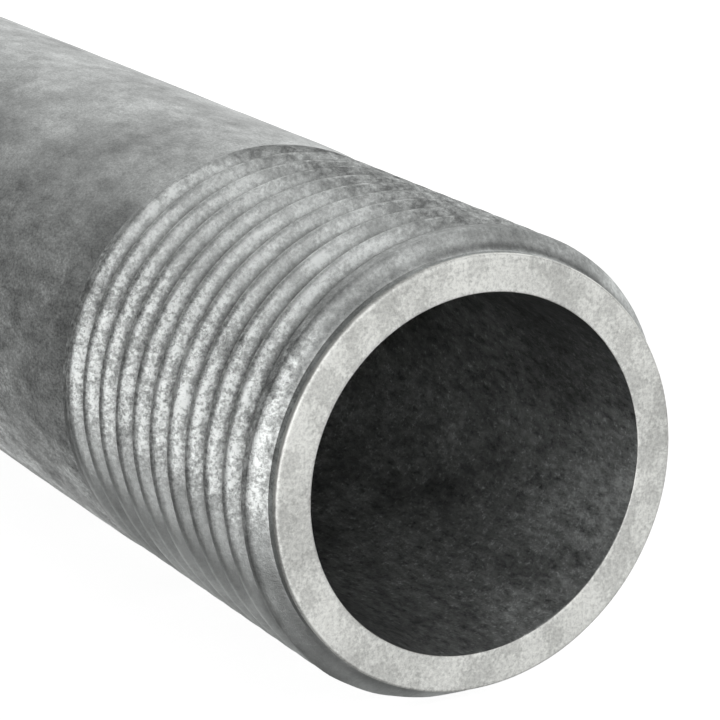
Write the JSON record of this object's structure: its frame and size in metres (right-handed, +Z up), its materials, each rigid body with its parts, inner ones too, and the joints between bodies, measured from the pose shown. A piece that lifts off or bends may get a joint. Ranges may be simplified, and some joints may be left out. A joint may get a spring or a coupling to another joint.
{
  "type": "threaded pipe nipple",
  "caption": "Straight length of galvanised steel pipe with an open bore and a parallel pipe thread cut on each end, for joining two threaded fittings.",
  "frame": {"origin": "on the pipe's axis, halfway along its length", "axes": "X along the pipe's axis, from one threaded end to the other; +Z up with the pipe lying on its side"},
  "size_m": [0.1, 0.0212, 0.0212],
  "materials": {
    "galvanised_steel": "hot-dip galvanised: satin grey zinc with soft mottling, brighter on the threads and end faces, dark inside the bore"
  },
  "bodies": {
    "root": {"nipple_pipe": "galvanised_steel"}
  },
  "joints": []
}
